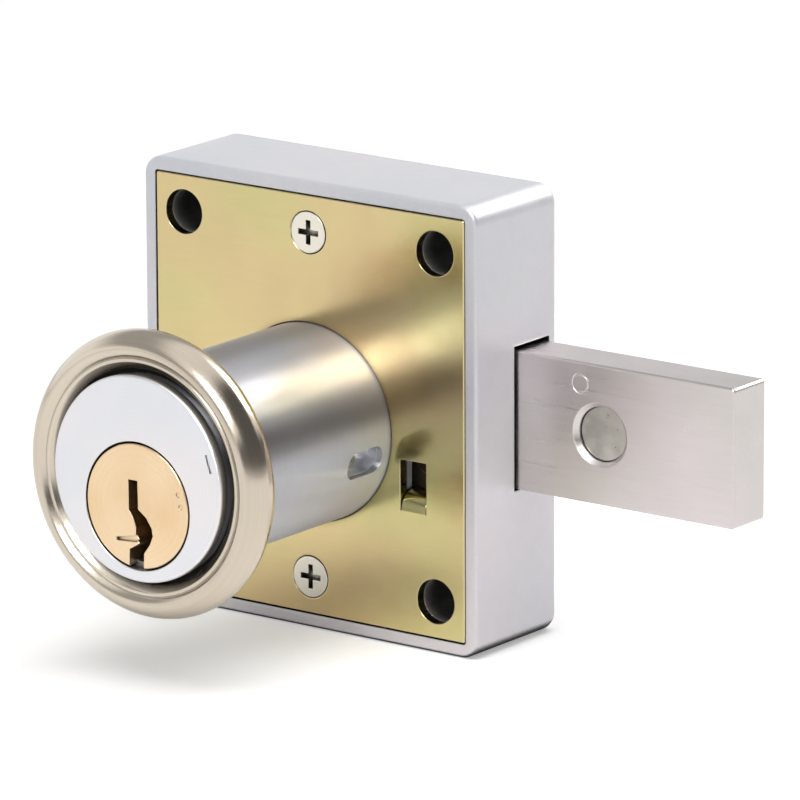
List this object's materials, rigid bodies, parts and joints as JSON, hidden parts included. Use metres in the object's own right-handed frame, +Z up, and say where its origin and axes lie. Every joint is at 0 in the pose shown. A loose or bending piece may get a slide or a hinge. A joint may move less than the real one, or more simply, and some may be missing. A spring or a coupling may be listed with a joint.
{
  "type": "furniture lock",
  "caption": "Cabinet door lock: flat screw-on case with a sliding flat bolt, thrown by a pin cylinder plug in a round barrel with a trim ring.",
  "frame": {"origin": "middle of the four fixing holes on the mounting face, where the cover plate lies against the door", "axes": "-Y out of the mounting face, through the door towards the key; +X the way the bolt shoots; +Z up"},
  "size_m": [0.0734, 0.045, 0.05],
  "materials": {
    "case": "satin zinc casting",
    "plate": "yellow passivated, brushed",
    "screw": "nickel plated",
    "barrel": "satin nickel",
    "face": "brushed satin chrome",
    "brass": "satin",
    "steel": "black oxide",
    "bolt": "satin nickel",
    "insert": "hardened, ground",
    "rosette": "polished nickel",
    "rubber": "matt",
    "spring": "bronze wire"
  },
  "bodies": {
    "lock": {"case_body": "case", "cover_plate": "plate", "cover_plate_screws": "screw", "barrel_sleeve": "barrel", "cylinder_core": "face", "grub_screw": "screw", "chamber_caps": "brass", "pin_spring_1": "spring", "pin_spring_2": "spring", "pin_spring_3": "spring", "pin_spring_4": "spring", "pin_spring_5": "spring"},
    "plug": {"plug": "brass", "drive_arm": "steel", "crank_pin": "steel", "spring_washer": "steel", "drive_screw": "screw"},
    "bolt": {"bolt": "bolt", "bolt_insert": "insert"},
    "rosette": {"rosette": "rosette", "grip_ring": "rubber"},
    "key_pin_1": {"key_pin_1": "brass"},
    "driver_pin_1": {"driver_pin_1": "steel"},
    "key_pin_2": {"key_pin_2": "brass"},
    "driver_pin_2": {"driver_pin_2": "steel"},
    "key_pin_3": {"key_pin_3": "brass"},
    "driver_pin_3": {"driver_pin_3": "steel"},
    "key_pin_4": {"key_pin_4": "brass"},
    "driver_pin_4": {"driver_pin_4": "steel"},
    "key_pin_5": {"key_pin_5": "brass"},
    "driver_pin_5": {"driver_pin_5": "steel"}
  },
  "joints": [
    {"name": "plug_turn", "type": "hinge", "parent": "lock", "child": "plug", "pos_m": [0, -0.03, -0.00475], "axis": [0, -1, 0], "range_deg": [0, 180]},
    {"name": "bolt_slide", "type": "slide", "parent": "lock", "child": "bolt", "axis": [1, 0, 0], "range_m": [-0.028, 0]},
    {"name": "rosette_slide", "type": "slide", "parent": "lock", "child": "rosette", "axis": [0, 1, 0], "range_m": [0, 0.025]},
    {"name": "driver_pin_1_lift", "type": "slide", "parent": "lock", "child": "driver_pin_1", "axis": [0, 0, 1], "range_m": [0, 0.0015], "stiffness_N_per_m": 150, "springref_m": -0.002, "deforming": ["pin_spring_1"]},
    {"name": "key_pin_1_drop", "type": "slide", "parent": "plug", "child": "key_pin_1", "axis": [0, 0, 1], "range_m": [-0.0014, 0]},
    {"name": "driver_pin_2_lift", "type": "slide", "parent": "lock", "child": "driver_pin_2", "axis": [0, 0, 1], "range_m": [0, 0.0015], "stiffness_N_per_m": 150, "springref_m": -0.002, "deforming": ["pin_spring_2"]},
    {"name": "key_pin_2_drop", "type": "slide", "parent": "plug", "child": "key_pin_2", "axis": [0, 0, 1], "range_m": [-0.0008, 0]},
    {"name": "driver_pin_3_lift", "type": "slide", "parent": "lock", "child": "driver_pin_3", "axis": [0, 0, 1], "range_m": [0, 0.0015], "stiffness_N_per_m": 150, "springref_m": -0.002, "deforming": ["pin_spring_3"]},
    {"name": "key_pin_3_drop", "type": "slide", "parent": "plug", "child": "key_pin_3", "axis": [0, 0, 1], "range_m": [-0.0016, 0]},
    {"name": "driver_pin_4_lift", "type": "slide", "parent": "lock", "child": "driver_pin_4", "axis": [0, 0, 1], "range_m": [0, 0.0015], "stiffness_N_per_m": 150, "springref_m": -0.002, "deforming": ["pin_spring_4"]},
    {"name": "key_pin_4_drop", "type": "slide", "parent": "plug", "child": "key_pin_4", "axis": [0, 0, 1], "range_m": [-0.0005, 0]},
    {"name": "driver_pin_5_lift", "type": "slide", "parent": "lock", "child": "driver_pin_5", "axis": [0, 0, 1], "range_m": [0, 0.0015], "stiffness_N_per_m": 150, "springref_m": -0.002, "deforming": ["pin_spring_5"]},
    {"name": "key_pin_5_drop", "type": "slide", "parent": "plug", "child": "key_pin_5", "axis": [0, 0, 1], "range_m": [-0.0011, 0]}
  ],
  "couplings": [
    {"joint": "plug_turn", "follows": "bolt_slide", "rad_per_m": -112.2}
  ]
}
